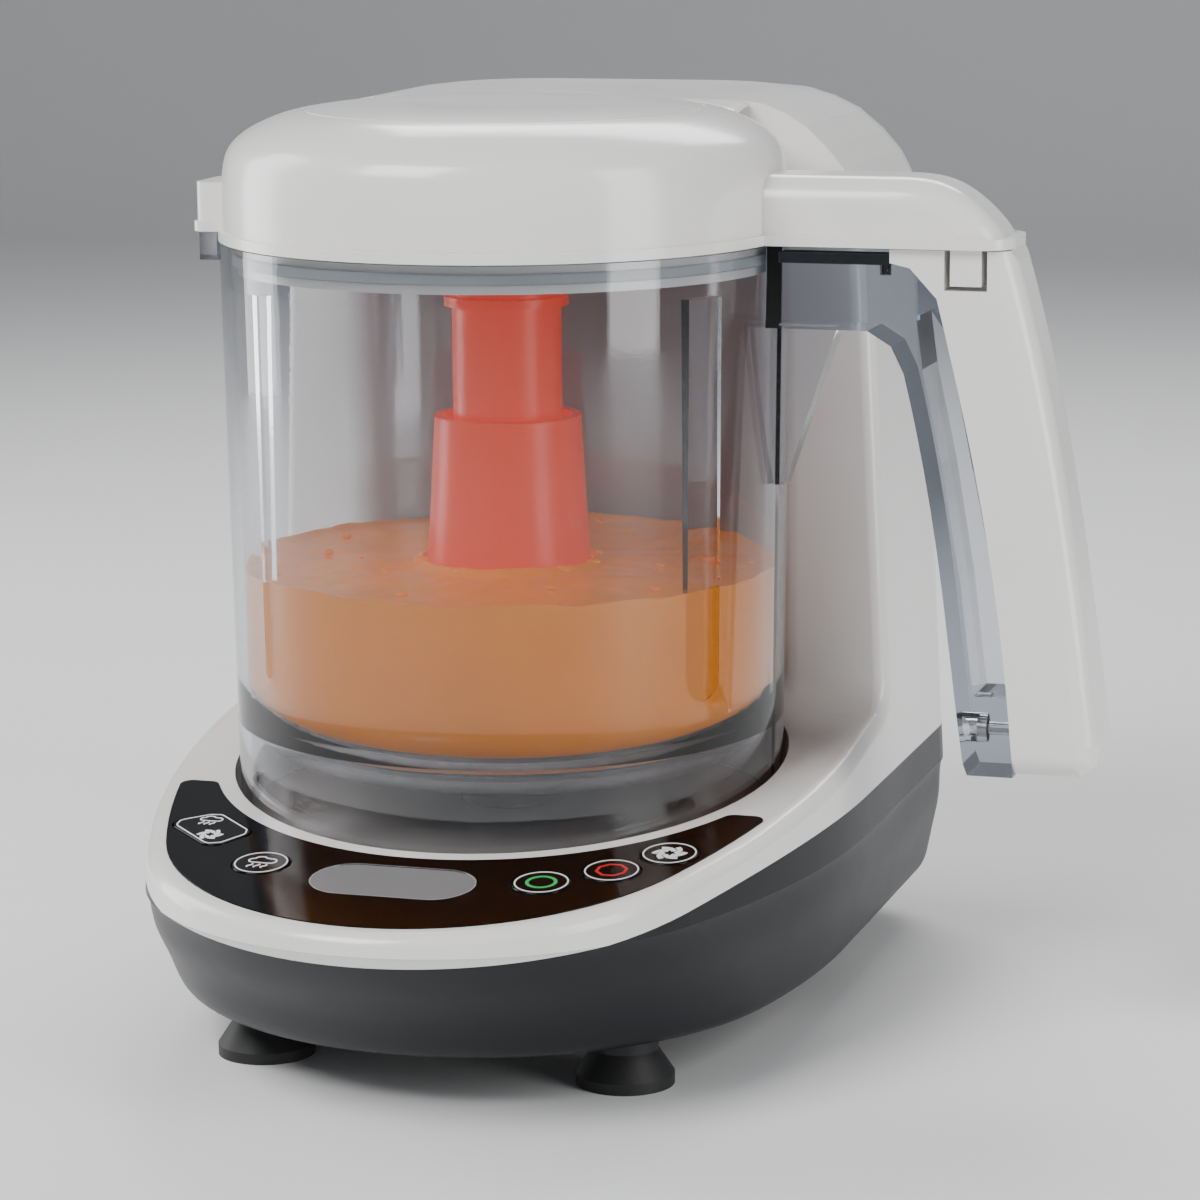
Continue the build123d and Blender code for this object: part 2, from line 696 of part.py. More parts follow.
with BuildPart() as heating_plate:
    add(rod(BOILER_X, BOILER_Y, BOILER_LOW, BOILER_LOW + 6, BOILER_R - 1.6))
    with BuildSketch(Plane.XY.offset(BOILER_LOW + 6)):
        with Locations((BOILER_X, BOILER_Y)):
            Circle(15)
            Circle(11, mode=Mode.SUBTRACT)
    extrude(amount=4)
    add(rod(BOILER_X, BOILER_Y, 70, 100, 1.8), mode=Mode.SUBTRACT)
write(heating_plate, "heating_plate")

with BuildPart() as boiler_stand:
    with BuildSketch(Plane.XY.offset(BOILER_LOW - 3)):
        with Locations((BOILER_X, BOILER_Y)):
            Circle(21)
            Circle(3.2, mode=Mode.SUBTRACT)
    extrude(amount=3)
    for x, y in STAND_LEGS:
        add(rod(x, y, TUB_FLOOR, BOILER_LOW - 3, 3.2))
write(boiler_stand, "boiler_stand")

with BuildPart() as steam_nozzle:
    add(rod(0, NOZZLE_Y, 168, TOWER_TOP, NOZZLE_R - 0.05))
    add(rod(0, NOZZLE_Y, 168, TOWER_TOP - WALL - 0.1, 6.0))
    add(rod(0, NOZZLE_Y, 160, 190, 2.5), mode=Mode.SUBTRACT)
write(steam_nozzle, "steam_nozzle")

with BuildPart() as nozzle_seal:
    add(rod(0, NOZZLE_Y, TOWER_TOP - 1.4, TOWER_TOP + 0.2, SEAL_R - 0.1))
    add(rod(0, NOZZLE_Y, 160, 190, NOZZLE_R), mode=Mode.SUBTRACT)
write(nozzle_seal, "nozzle_seal")

with BuildPart() as power_board:
    with Locations((58, 62, 108)):
        Box(27, 1.6, 73.8)
    with Locations((54.5, 57.6, 92)):
        Box(13, 7.2, 16)
    for height in (118, 132):
        with Locations((58, 55.8, height)):
            Cylinder(5, 11, rotation=(90, 0, 0))
    with Locations((67, 58.2, 84), (67, 58.2, 98)):
        Box(8, 6, 9)
write(power_board, "power_board")

with BuildPart() as interlock_switch:
    with Locations((0, 74.6, 160)):
        Box(20, 6.4, 10)
    with Locations((0, 74.6, 166.5)):
        Box(6, 4, 3)
    with Locations((-6, 74.6, 154), (6, 74.6, 154)):
        Box(0.8, 3.2, 4)
write(interlock_switch, "interlock_switch")

with BuildPart() as cord_gland:
    x, z = GLAND
    for near, far, radius in [(118.6, 120.8, 7.9), (118.6, 126.0, 5.95), (GLAND_SEAT, 126.0, 7.9)]:
        with BuildSketch(Plane.XZ.offset(-near)):
            with Locations((x, z)):
                Circle(radius)
        extrude(amount=near - far)
    with BuildSketch(Plane.XZ.offset(-110)):
        with Locations((x, z)):
            Circle(CORD_R)
    extrude(amount=-30, mode=Mode.SUBTRACT)
write(cord_gland, "cord_gland")

with BuildPart() as door_hinge_pin:
    with Locations((FILL_X, HINGE_Y, HINGE_Z)):
        Cylinder(PIN_R, 2 * FILL_HALF + 5.6, rotation=(0, 90, 0))
write(door_hinge_pin, "door_hinge_pin")

with BuildPart() as filler_door:
    with BuildSketch(REAR):
        with Locations((0, (FILL_TALL - 2 * GAP) / 2)):
            Rectangle(2 * (FILL_HALF - GAP), FILL_TALL - 2 * GAP)
    extrude(amount=-2.2)
    fillet(filler_door.edges().filter_by(Axis.X).sort_by(Axis.Z)[-2:], 0.6)
    with BuildSketch(REAR):
        with Locations((0, FILL_TALL - 5)):
            SlotOverall(14, 2.0)
    extrude(amount=1.4)
    with Locations((FILL_X, HINGE_Y, HINGE_Z)):
        Cylinder(BARREL_R, 2 * (FILL_HALF - GAP), rotation=(0, 90, 0))
        Cylinder(PIN_R + 0.05, 60, rotation=(0, 90, 0), mode=Mode.SUBTRACT)
write(filler_door, "filler_door")

# ---- jug -----------------------------------------------------------------------------------

BOSS_R = 9.0
BOSS_TOP = 100.0
BOTTOM_R = 16.5  # rounding of the jug's inside bottom
HANDLE_HALF = 10.5
RIB_LOW = 87.2
RIB_TOP = 176.0
SCREW_Z = 74.0
STRIP_Z = 178.6
STRIP_THICK = 2.4
BOTTOM_X = JUG_RIM_R - JUG_WALL - 1.4 - BOTTOM_R
DISC_TOP = JUG_FLOOR_TOP + 1.8
# The handle's side view, as X and height: outer edge, inner edge and the seam between its halves
HANDLE_OUTER = [(139.3, 72.0), (134.2, 110.6), (127.3, 149.3), (119.9, 179.0)]
HANDLE_INNER = [(109.2, 67.0), (107.4, 80.3), (103.9, 108.4), (99.6, 134.5), (95.3, 154.0)]
HANDLE_SEAM = [(120.5, 64.4), (117.0, 99.5), (112.7, 126.2), (107.6, 150.2), (102.6, 170.8)]


def clear_side():
    """The clear half of the handle and its arm, seen from the front."""
    with BuildSketch(Plane.XZ) as side:
        with BuildLine():
            Polyline((120.5, 64.4), (110.2, 64.4), (109.2, 67.0))
            Spline(*HANDLE_INNER)
            Polyline((95.3, 154.0), (92.4, 160.0), (87.0, 163.3), (62.5, 163.3), (62.5, JUG_RIM))
            Polyline((62.5, JUG_RIM), (92.0, JUG_RIM), (92.0, 178.4), (96.5, 177.4), (102.6, 170.8))
            Spline(*reversed(HANDLE_SEAM))
        make_face()
    return side.sketch


def cover_side():
    """The opaque outer half of the handle, seen from the front."""
    with BuildSketch(Plane.XZ) as side:
        with BuildLine():
            Spline(*HANDLE_SEAM)
            Polyline((102.6, 170.8), (96.5, 177.4), (92.0, 178.4), (92.0, JUG_RIM))
            Polyline((92.0, JUG_RIM), (118.4, JUG_RIM), (119.9, 179.0))
            Spline(*reversed(HANDLE_OUTER))
            Polyline((139.3, 72.0), (138.6, 67.0), (135.6, 64.6), (120.5, 64.4))
        make_face()
    return side.sketch


with BuildPart() as bowl_jug:
    with BuildSketch(Plane.XZ):
        with BuildLine():
            Polyline(
                (BOTTOM_X, JUG_FLOOR_TOP),
                (BOSS_R, JUG_FLOOR_TOP),
                (BOSS_R, BOSS_TOP),
                (BEARING_R, BOSS_TOP),
                (BEARING_R, JUG_FLOOR),
                (BOTTOM_X, JUG_FLOOR),
            )
            CenterArc((BOTTOM_X, JUG_FLOOR_TOP + BOTTOM_R), BOTTOM_R + JUG_WALL, -90, 57)
            skirt = Line(
                (BOTTOM_X + (BOTTOM_R + JUG_WALL) * math.cos(math.radians(33)),
                 JUG_FLOOR_TOP + BOTTOM_R - (BOTTOM_R + JUG_WALL) * math.sin(math.radians(33))),
                (JUG_FOOT_R - JUG_WALL, JUG_FOOT),
            )
            Polyline(
                skirt @ 1,
                (JUG_FOOT_R, JUG_FOOT),
                (JUG_RIM_R, JUG_RIM),
                (JUG_RIM_R - JUG_WALL, JUG_RIM),
                (BOTTOM_X + BOTTOM_R, JUG_FLOOR_TOP + BOTTOM_R),
            )
            CenterArc((BOTTOM_X, JUG_FLOOR_TOP + BOTTOM_R), BOTTOM_R, 0, -90)
        make_face()
    revolve(axis=Axis.Z)
    # upright ribs inside the wall, each with a rounded foot
    for angle, width in [(-28.3, 9.8), (-131.5, 3.0)]:
        out_x = math.cos(math.radians(angle))
        out_y = math.sin(math.radians(angle))
        face = Plane(
            origin=(59.7 * out_x, 59.7 * out_y, (RIB_LOW + RIB_TOP) / 2),
            x_dir=(-out_y, out_x, 0),
            z_dir=(out_x, out_y, 0),
        )
        with BuildSketch(face):
            SlotOverall(RIB_TOP - RIB_LOW + width, width, rotation=90)
        extrude(amount=3.0)
    # the handle's clear half, hollowed from the seam, and its arm
    extrude(clear_side(), amount=HANDLE_HALF, both=True)
    with BuildSketch(Plane.XZ):
        Polygon(
            (111.0, 82),
            (121, 82),
            (104.4, 163),
            (101, 168),
            (97.6, 166.6),
            (99.2, 154),
            (103.5, 134),
            (107.9, 108),
            align=None,
        )
    extrude(amount=HANDLE_HALF - 3, both=True, mode=Mode.SUBTRACT)
    # the cover's screw, and the interlock's slot in the arm
    with Locations((114, 0, SCREW_Z)):
        Cylinder(1.5, 20, rotation=(0, 90, 0), mode=Mode.SUBTRACT)
    with Locations((108, 0, SCREW_Z)):
        Cylinder(3.4, 11, rotation=(0, 90, 0), mode=Mode.SUBTRACT)
    with Locations((78.6, 0, STRIP_Z)):
        Box(25.6, 7.4, STRIP_THICK, mode=Mode.SUBTRACT)
    with Locations((89.5, 0, STRIP_Z - 2.4)):
        Cylinder(1.3, 2.4, mode=Mode.SUBTRACT)
    # gusset under the arm
    with BuildSketch(Plane.XZ):
        Polygon((63.2, 164.5), (79, 164.5), (66.2, 127), (63.2, 127), align=None)
    extrude(amount=3.0, both=True)
    # lug opposite the handle
    with Locations((-67.3, 0, 178.2)):
        Box(9.0, 16, 6.4)
    with BuildSketch(Plane.XY.offset(PLUG_BOTTOM - 3)):
        Circle(JUG_RIM_R - JUG_WALL)
    extrude(amount=20, mode=Mode.SUBTRACT)
write(bowl_jug, "bowl_jug")

with BuildPart() as floor_disc:
    add(rod(0, 0, JUG_FLOOR_TOP, DISC_TOP, BOTTOM_X - 0.5))
    add(rod(0, 0, 50, 80, BOSS_R), mode=Mode.SUBTRACT)
write(floor_disc, "floor_disc")

with BuildPart() as shaft_bush:
    with BuildSketch(Plane.XY.offset(JUG_FLOOR)):
        Circle(BEARING_R)
        Circle(SHAFT_R + 0.05, mode=Mode.SUBTRACT)
    extrude(amount=BOSS_TOP - JUG_FLOOR)
write(shaft_bush, "shaft_bush")

with BuildPart() as handle_cover:
    extrude(cover_side(), amount=HANDLE_HALF, both=True)
    outside = handle_cover.edges().filter_by_position(Axis.X, 119, 140)
    outside = outside.filter_by(lambda e: abs(abs(e.center().Y) - HANDLE_HALF) < 0.1)
    outside = outside.filter_by(lambda e: e.center().X > 122)
    fillet(outside, 5.0)
    # notch for the lid's tab, and the screw's bore
    with Locations((109.0, 0, JUG_RIM)):
        Box(9.6, 30.0, 17.6, mode=Mode.SUBTRACT)
    with Locations((120, 0, SCREW_Z)):
        Cylinder(1.5, 30, rotation=(0, 90, 0), mode=Mode.SUBTRACT)
write(handle_cover, "handle_cover")

with BuildPart() as handle_screw:
    with Locations((112.4, 0, SCREW_Z)):
        Cylinder(3.2, 2.2, rotation=(0, 90, 0))
    with Locations((122.0, 0, SCREW_Z)):
        Cylinder(1.48, 18, rotation=(0, 90, 0))
write(handle_screw, "handle_screw")

with BuildPart() as interlock_strip:
    with Locations((78.6, 0, STRIP_Z)):
        Box(25.2, 7.0, STRIP_THICK)
    with Locations((89.5, 0, STRIP_Z - 2.2)):
        Cylinder(1.2, 2.4)
write(interlock_strip, "interlock_strip")

# ---- blade set -----------------------------------------------------------------------------

HUB_LOW = DISC_TOP + 0.4
HUB_WALL = 2.0
WEB_LOW = 112.0
WEB_TOP = 116.0
SHAFT_TOP = 112.0
BLADE_TIP = 54.0

with BuildPart() as blade_shaft:
    add(rod(0, 0, COUPLING_TOP - 5, SHAFT_TOP, SHAFT_R))
    with BuildSketch(Plane.XY.offset(SHAFT_TOP)):
        Rectangle(5.2, 5.2)
    extrude(amount=WEB_TOP - SHAFT_TOP)
write(blade_shaft, "blade_shaft")

with BuildPart() as blade_hub:
    with BuildSketch(Plane.XZ):
        Polygon(
            (19.9, HUB_LOW),
            (18.85, 106),
            (HUB_RIM_R, HUB_TOP),
            (HUB_RIM_R - HUB_WALL, HUB_TOP),
            (18.85 - HUB_WALL, 106),
            (19.9 - HUB_WALL, HUB_LOW),
            align=None,
        )
    revolve(axis=Axis.Z)
    with BuildSketch(Plane.XY.offset(WEB_LOW)):
        Circle(17.6)
        Rectangle(5.2, 5.2, mode=Mode.SUBTRACT)
    extrude(amount=WEB_TOP - WEB_LOW)
write(blade_hub, "blade_hub")


with BuildPart() as chopping_blades:
    for lift, turn in BLADES:
        for side in (0, 180):
            with BuildSketch(Plane.XY.offset(lift).rotated((0, 0, turn + side))):
                with BuildLine():
                    ThreePointArc((18.6, -6.2), (38, -9.0), (BLADE_TIP - 1.5, 4))
                    Line((BLADE_TIP - 1.5, 4), (BLADE_TIP - 4.5, 7.5))
                    ThreePointArc((BLADE_TIP - 4.5, 7.5), (36, 3.5), (18.6, 6.2))
                    Line((18.6, 6.2), (18.6, -6.2))
                make_face()
            extrude(amount=BLADE_THICK)
write(chopping_blades, "chopping_blades")

# ---- lid -----------------------------------------------------------------------------------

ARM_TIP = 118.4
LUG_TIP = 72.7
# The dome's shoulder, as radius, height and the direction its wall thickens inwards
DOME = [
    (64.4, 190.0, 1.0, 0.0),
    (63.9, 197.0, 1.0, 0.1),
    (62.8, 201.4, 0.8, 0.6),
    (59.8, 204.9, 0.5, 0.9),
    (53.0, 208.5, 0.3, 1.0),
    (45.0, 210.5, 0.0, 1.0),
]
# The hood's sections: height, half-width, rear edge and how much of the wall is taken downwards
HOOD = [
    (183.0, 74.2, 119.3, 0.0),
    (190.0, 71.2, 119.2, 0.2),
    (194.0, 69.1, 118.9, 0.4),
    (199.0, 65.0, 117.8, 0.7),
    (204.0, 59.8, 115.4, 0.9),
    (207.0, 54.6, 112.4, 1.0),
    (209.0, 49.6, 109.0, 1.0),
    (210.0, 42.0, 104.0, 1.0),
]
HOOD_CORNER = 23.0
# The arm's end over the handle, as X and height
ARM_END = [(92.0, 197.0), (104.3, 195.2), (111.0, 190.8), (115.2, 186.4), (118.2, 181.0)]


def lid_outline(inset):
    """The lid's plan: jug circle, rear hood, arm over the handle and lug."""
    with BuildSketch() as plan:
        with Locations((0, 120 + HOOD_FRONT + inset)):
            Rectangle(200, 240)
        add(footprint(TOWER_INSET + 0.2 + inset, 0), mode=Mode.INTERSECT)
        Circle(64.6 - inset)
        with Locations((ARM_TIP / 2, 0)):
            RectangleRounded(ARM_TIP - 2 * inset, 2 * ARM_HALF - 2 * inset, 7)
        with Locations((-LUG_TIP / 2, 0)):
            RectangleRounded(LUG_TIP - 2 * inset, 18 - 2 * inset, 3)
    return plan.sketch


def lid_dome(wall):
    """The round part of the lid over the jug."""
    points = [(r - wall * nr, z - wall * nz) for r, z, nr, nz in DOME]
    with BuildPart() as dome:
        with BuildSketch(Plane.XZ):
            with BuildLine():
                Polyline((0, LID_TOP - wall), (0, LID_BASE), (points[0][0], LID_BASE), points[0])
                Spline(*points, tangents=((0, 1), (-1, 0.16)))
                Spline(points[-1], (0, LID_TOP - wall), tangents=((-1, 0.16), (-1, 0)))
            make_face()
        revolve(axis=Axis.Z)
    return dome.part


def lid_hood(wall):
    """The rear part of the lid, over the tower."""
    sections = []
    for height, half, rear, down in HOOD:
        side = half - wall
        back = rear - wall
        corner = HOOD_CORNER - wall
        with BuildSketch(Plane.XY.offset(height - wall * down)) as section:
            with BuildLine():
                Line((side, HOOD_FRONT + wall), (side, back - corner))
                CenterArc((side - corner, back - corner), corner, 0, 90)
                Line((side - corner, back), (0, back))
                Line((0, HOOD_FRONT + wall), (side, HOOD_FRONT + wall))
                mirror(about=Plane.YZ)
            make_face()
        sections.append(section.sketch.face())
    with BuildPart() as hood:
        loft(sections, ruled=True)
    return hood.part


def lid_arm(wall):
    """The rounded arm that reaches over the handle."""
    end = [(x - wall, z - wall) for x, z in ARM_END]
    with BuildPart() as arm:
        with BuildSketch(Plane.XZ):
            with BuildLine():
                Polyline(end[-1], (40, end[-1][1]), (40, end[0][1]), end[0])
                Spline(*end, tangents=((1, 0), (0.45, -1)))
            make_face()
        extrude(amount=ARM_HALF - wall, both=True)
        sides = arm.edges().filter_by(lambda e: abs(e.center().Y) > ARM_HALF - wall - 0.1)
        fillet(sides.filter_by(lambda e: e.center().Z > 183 and e.center().X > 42), 6.5 - wall)
    return arm.part


def lid_body(wall):
    """The lid's whole domed, hooded shape, with its faces moved in by wall."""
    with BuildPart() as body:
        add(lid_dome(wall))
        add(lid_hood(wall))
        add(lid_arm(wall))
        with Locations((-(LUG_TIP - wall) / 2, 0, (LID_BASE + 193 - wall) / 2)):
            Box(LUG_TIP - wall, 18 - 2 * wall, 193 - wall - LID_BASE)
        with BuildSketch(Plane.XY.offset(LID_BASE if wall else LID_SEAM)):
            add(lid_outline(wall))
        extrude(amount=40, mode=Mode.INTERSECT)
    return body.part


with BuildPart() as lid_cover:
    add(lid_body(0))
    # a shallow ring round the top
    with BuildSketch(Plane.XY.offset(LID_TOP - 1.5)):
        Circle(45.6)
        Circle(44.8, mode=Mode.SUBTRACT)
    extrude(amount=4, mode=Mode.SUBTRACT)
    add(lid_body(LID_WALL), mode=Mode.SUBTRACT)
write(lid_cover, "lid_cover")

with BuildPart() as lid_liner:
    with BuildSketch(Plane.XY.offset(LID_BOTTOM)):
        add(lid_outline(-0.6))
        Circle(TUBE_BORE, mode=Mode.SUBTRACT)
        with Locations((0, NOZZLE_Y)):
            Circle(SEAL_R - 2, mode=Mode.SUBTRACT)
    extrude(amount=LID_SEAM - LID_BOTTOM)
    with BuildSketch(Plane.XY.offset(PLUG_BOTTOM)):
        Circle(61.0)
        Circle(58.5, mode=Mode.SUBTRACT)
    extrude(amount=LID_BOTTOM - PLUG_BOTTOM)
    # tab that drops into the handle
    with Locations((109.0, 0, LID_BOTTOM - 4.0)):
        Box(7.0, 20.6, 8.2)
write(lid_liner, "lid_liner")

with BuildPart() as lid_gasket:
    with BuildSketch(Plane.XY.offset(PLUG_BOTTOM + 2)):
        Circle(62.0)
        Circle(61.0, mode=Mode.SUBTRACT)
    extrude(amount=2.5)
    fillet(lid_gasket.edges().filter_by(GeomType.CIRCLE).sort_by(SortBy.RADIUS)[-2:], 0.4)
write(lid_gasket, "lid_gasket")

with BuildPart() as steam_tube:
    add(rod(0, 0, TUBE_END, LID_BOTTOM, TUBE_R))
    add(rod(0, 0, 166.3, 168.5, 14.2))
    add(rod(0, 0, 100, 200, TUBE_BORE), mode=Mode.SUBTRACT)
write(steam_tube, "steam_tube")

with BuildPart() as steam_duct:
    with BuildSketch(Plane.XY.offset(LID_SEAM)):
        with Locations((0, NOZZLE_Y / 2)):
            SlotOverall(NOZZLE_Y + 24, 24, rotation=90)
    extrude(amount=12)
    with BuildSketch(Plane.XY.offset(LID_SEAM)):
        with Locations((0, NOZZLE_Y / 2)):
            SlotOverall(NOZZLE_Y + 20.8, 20.8, rotation=90)
    extrude(amount=10.4, mode=Mode.SUBTRACT)
write(steam_duct, "steam_duct")
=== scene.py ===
import json
import math

import bmesh
import bpy
from mathutils import Matrix, Vector, noise
from mathutils.bvhtree import BVHTree


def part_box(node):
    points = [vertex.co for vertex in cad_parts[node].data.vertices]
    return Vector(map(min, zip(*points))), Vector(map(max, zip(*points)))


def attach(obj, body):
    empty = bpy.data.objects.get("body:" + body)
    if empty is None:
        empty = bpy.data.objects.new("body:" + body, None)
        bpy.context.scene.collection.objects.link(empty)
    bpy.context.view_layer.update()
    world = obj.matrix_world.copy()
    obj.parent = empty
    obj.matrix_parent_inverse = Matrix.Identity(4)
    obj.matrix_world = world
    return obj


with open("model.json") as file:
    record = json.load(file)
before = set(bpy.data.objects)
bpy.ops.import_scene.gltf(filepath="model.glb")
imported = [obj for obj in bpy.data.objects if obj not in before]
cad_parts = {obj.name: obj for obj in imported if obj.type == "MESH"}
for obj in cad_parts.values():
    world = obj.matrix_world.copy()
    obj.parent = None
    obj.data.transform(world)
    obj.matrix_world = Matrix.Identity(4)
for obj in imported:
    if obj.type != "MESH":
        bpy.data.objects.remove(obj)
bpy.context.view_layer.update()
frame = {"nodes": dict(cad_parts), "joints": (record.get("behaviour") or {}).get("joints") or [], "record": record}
nodes = frame["nodes"]

MM = 0.001

# ---- places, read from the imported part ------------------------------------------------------

jug_low, jug_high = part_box("floor_disc")
AXIS_X = (jug_low.x + jug_high.x) / 2
AXIS_Y = (jug_low.y + jug_high.y) / 2
FLOOR_Z = jug_high.z
JUG_INSIDE_R = 60.7 * MM
JUG_CORNER_R = 16.3 * MM
PUREE_TOP = 106.5 * MM
HUB_R = 19.4 * MM
HUB_GAP = 1.2 * MM
press = next(j for j in frame["joints"] if j["name"] == "start_button_press")
DECK_UP = -Vector(press["axis"]).normalized()
DECK_RIGHT = Vector((1, 0, 0))
DECK_BACK = DECK_UP.cross(DECK_RIGHT).normalized()


# ---- materials ------------------------------------------------------------------------------


def socket_set(shader, values):
    """Set a shader's inputs by name."""
    for key, value in values.items():
        shader.inputs[key].default_value = value


def surface(name, color, rough, grain=0.0, grain_scale=900.0, mottle=0.04, **extra):
    """A procedural surface: a base colour with slight mottling, uneven gloss and fine grain."""
    mat = bpy.data.materials.new(name)
    mat.use_nodes = True
    tree = mat.node_tree
    shader = tree.nodes["Principled BSDF"]
    socket_set(shader, {"Base Color": (*color, 1.0), "Roughness": rough, **extra})
    place = tree.nodes.new("ShaderNodeTexCoord")
    clouds = tree.nodes.new("ShaderNodeTexNoise")
    clouds.inputs["Scale"].default_value = 38.0
    clouds.inputs["Detail"].default_value = 5.0
    tree.links.new(place.outputs["Object"], clouds.inputs["Vector"])
    tint = tree.nodes.new("ShaderNodeMix")
    tint.data_type = "RGBA"
    low = tuple(c * (1.0 - mottle) for c in color)
    high = tuple(min(1.0, c * (1.0 + mottle)) for c in color)
    tint.inputs["A"].default_value = (*low, 1.0)
    tint.inputs["B"].default_value = (*high, 1.0)
    tree.links.new(clouds.outputs["Fac"], tint.inputs["Factor"])
    tree.links.new(tint.outputs["Result"], shader.inputs["Base Color"])
    gloss = tree.nodes.new("ShaderNodeMapRange")
    gloss.inputs["To Min"].default_value = rough * 0.85
    gloss.inputs["To Max"].default_value = min(1.0, rough * 1.15 + 0.01)
    tree.links.new(clouds.outputs["Fac"], gloss.inputs["Value"])
    tree.links.new(gloss.outputs["Result"], shader.inputs["Roughness"])
    fine = tree.nodes.new("ShaderNodeTexNoise")
    fine.inputs["Scale"].default_value = grain_scale
    fine.inputs["Detail"].default_value = 3.0
    tree.links.new(place.outputs["Object"], fine.inputs["Vector"])
    bump = tree.nodes.new("ShaderNodeBump")
    bump.inputs["Strength"].default_value = 0.02 + grain
    bump.inputs["Distance"].default_value = 0.0002
    tree.links.new(fine.outputs["Fac"], bump.inputs["Height"])
    tree.links.new(bump.outputs["Normal"], shader.inputs["Normal"])
    return mat


def brushed(name, color, rough, stretch=(1.0, 1.0, 30.0)):
    """Metal with fine parallel scratches across one direction."""
    mat = surface(name, color, rough, mottle=0.03, **{"Metallic": 1.0})
    tree = mat.node_tree
    place = tree.nodes.new("ShaderNodeTexCoord")
    scale = tree.nodes.new("ShaderNodeMapping")
    scale.inputs["Scale"].default_value = stretch
    lines = tree.nodes.new("ShaderNodeTexNoise")
    lines.inputs["Scale"].default_value = 260.0
    lines.inputs["Detail"].default_value = 4.0
    bump = tree.nodes.new("ShaderNodeBump")
    bump.inputs["Strength"].default_value = 0.12
    bump.inputs["Distance"].default_value = 0.0002
    tree.links.new(place.outputs["Object"], scale.inputs["Vector"])
    tree.links.new(scale.outputs["Vector"], lines.inputs["Vector"])
    tree.links.new(lines.outputs["Fac"], bump.inputs["Height"])
    shader = tree.nodes["Principled BSDF"]
    tree.links.new(bump.outputs["Normal"], shader.inputs["Normal"])
    return mat


def clear(name, color, rough, ior=1.47):
    """Clear moulded plastic, faintly tinted."""
    return surface(
        name, color, rough, mottle=0.01, **{"Transmission Weight": 1.0, "IOR": ior}
    )


def smoke_clear(name, color, depth_color, density):
    """Clear plastic that darkens towards a smoky blue where it is thick."""
    mat = clear(name, color, 0.02)
    tree = mat.node_tree
    absorb = tree.nodes.new("ShaderNodeVolumeAbsorption")
    absorb.inputs["Color"].default_value = (*depth_color, 1.0)
    absorb.inputs["Density"].default_value = density
    output = tree.nodes["Material Output"]
    tree.links.new(absorb.outputs["Volume"], output.inputs["Volume"])
    return mat


WHITE = (0.83, 0.81, 0.785)
# a faint painted glow (emission on parts that are no lamp) keeps the orange plastic and the puree from looking
# washed out
WARM_GLOW = {"Emission Color": (1.0, 0.07, 0.01, 1.0), "Emission Strength": 0.16}
PUREE_GLOW = {"Emission Color": (1.0, 0.27, 0.0, 1.0), "Emission Strength": 0.14}
MATERIALS = {
    "white_shell": surface("white_shell", WHITE, 0.22, **{"Coat Weight": 0.35, "Coat Roughness": 0.12}),
    "dark_shell": surface("dark_shell", (0.008, 0.0085, 0.011), 0.36, **{"Specular IOR Level": 0.3}),
    "black_gloss": surface("black_gloss", (0.002, 0.002, 0.0025), 0.09, **{"Specular IOR Level": 0.16}),
    "button_black": surface("button_black", (0.003, 0.003, 0.0035), 0.13, **{"Specular IOR Level": 0.16}),
    "display_grey": surface("display_grey", (0.20, 0.22, 0.235), 0.1, **{"Coat Weight": 0.8}),
    "lcd": surface("lcd", (0.3, 0.34, 0.33), 0.15),
    "circuit_green": surface("circuit_green", (0.01, 0.14, 0.05), 0.35, grain=0.2, mottle=0.2),
    "silicone": surface("silicone", (0.55, 0.55, 0.53), 0.5, **{"Subsurface Weight": 0.2}),
    "foot_rubber": surface("foot_rubber", (0.013, 0.013, 0.014), 0.55, grain=0.2),
    "screw_steel": brushed("screw_steel", (0.55, 0.54, 0.52), 0.3),
    "steel": brushed("steel", (0.62, 0.62, 0.63), 0.24),
    "motor_steel": brushed("motor_steel", (0.2, 0.2, 0.21), 0.4),
    "bronze": brushed("bronze", (0.55, 0.36, 0.16), 0.35),
    "belt_rubber": surface("belt_rubber", (0.015, 0.015, 0.015), 0.7, grain=0.4),
    "tank_clear": clear("tank_clear", (0.9, 0.94, 0.95), 0.12),
    "pump_plastic": surface("pump_plastic", (0.03, 0.03, 0.034), 0.5, grain=0.2),
    "hose_silicone": surface("hose_silicone", (0.78, 0.77, 0.74), 0.42, **{"Subsurface Weight": 0.3}),
    "aluminium_cast": brushed("aluminium_cast", (0.6, 0.6, 0.6), 0.45, (4.0, 4.0, 4.0)),
    "pulley_plastic": surface("pulley_plastic", (0.05, 0.05, 0.055), 0.45, grain=0.2),
    "jug_clear": smoke_clear("jug_clear", (0.95, 0.955, 0.965), (0.50, 0.55, 0.62), 95.0),
    "disc_black": surface("disc_black", (0.012, 0.013, 0.016), 0.3),
    # the orange plastic carries a painted glow: emission, though it is no lamp
    "orange": surface("orange", (0.94, 0.060, 0.012), 0.3, grain=0.15, **WARM_GLOW),
}


def puree_material():
    """Mottled orange puree with a soft grain and a faint painted glow."""
    return surface(
        "puree",
        (0.92, 0.27, 0.002),
        0.3,
        grain=0.3,
        grain_scale=420.0,
        mottle=0.12,
        **{"Specular IOR Level": 0.3, **PUREE_GLOW},
    )


# ---- building helpers -----------------------------------------------------------------------


def smooth_by_angle(obj, degrees=32.0):
    """Shade a mesh smooth except over sharp edges."""
    mesh = obj.data
    for face in mesh.polygons:
        face.use_smooth = True
    limit = math.radians(degrees)
    work = bmesh.new()
    work.from_mesh(mesh)
    for edge in work.edges:
        sharp = len(edge.link_faces) != 2 or edge.calc_face_angle(0.0) > limit
        edge.smooth = not sharp
    work.to_mesh(mesh)
    work.free()


